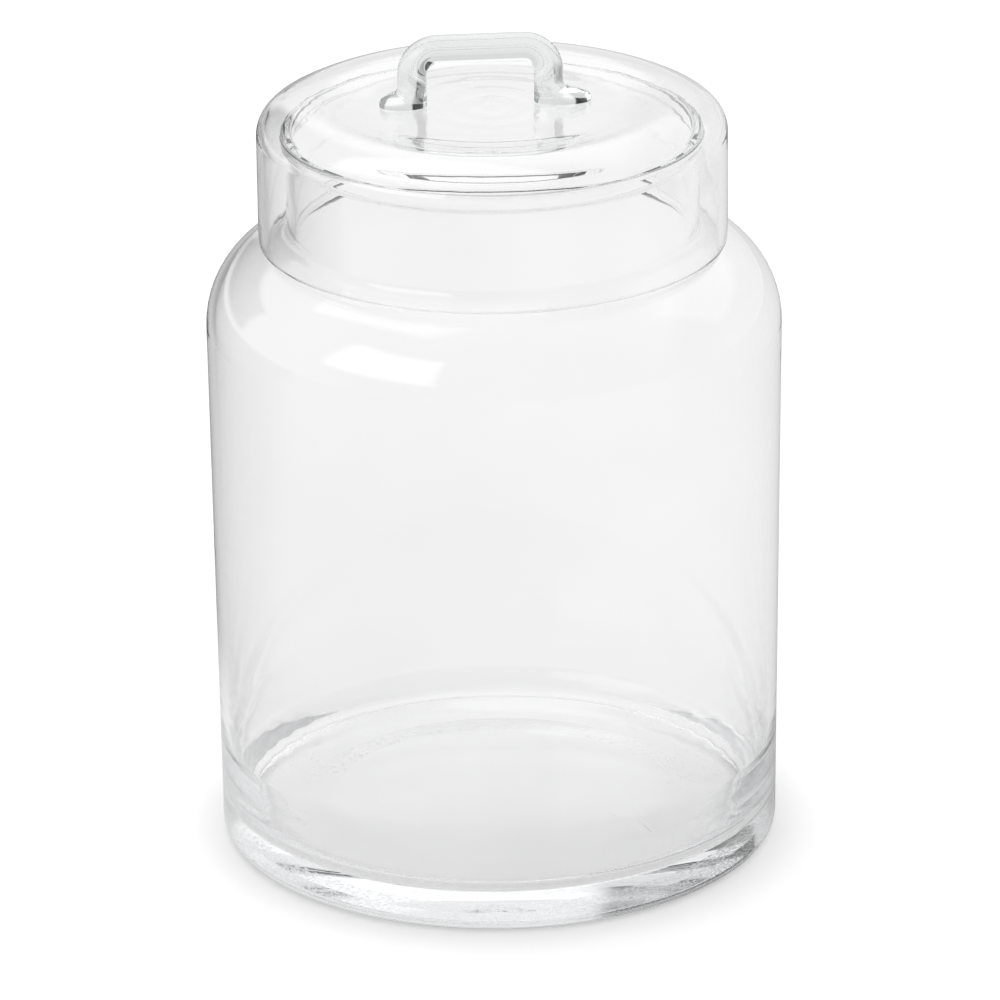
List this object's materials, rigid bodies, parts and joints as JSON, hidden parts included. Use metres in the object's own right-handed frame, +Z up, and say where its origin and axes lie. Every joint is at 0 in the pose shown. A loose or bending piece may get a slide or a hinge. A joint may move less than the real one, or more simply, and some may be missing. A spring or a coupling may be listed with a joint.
{
  "type": "glass storage jar",
  "caption": "Clear glass storage canister with a thick base, round shoulder and open neck, and a cap lid with a bent rod handle that lifts off.",
  "frame": {"origin": "middle of the base, on the surface the jar stands on", "axes": "+Z up along the jar's axis, +X along the lid handle's bar, -Y towards the viewer of the picture"},
  "size_m": [0.1796, 0.1796, 0.2633],
  "materials": {
    "jar_glass": "clear blown soda-lime glass, fire-polished rim",
    "lid_glass": "clear blown glass with faint spin rings",
    "handle_glass": "clear drawn glass rod with a few seed bubbles"
  },
  "bodies": {
    "jar": {"jar": "jar_glass"},
    "lid": {"lid": "lid_glass", "lid_handle": "handle_glass"}
  },
  "joints": [
    {"name": "lid_lift", "type": "slide", "parent": "jar", "child": "lid", "axis": [0, 0, 1], "range_m": [0, 0.12]}
  ]
}
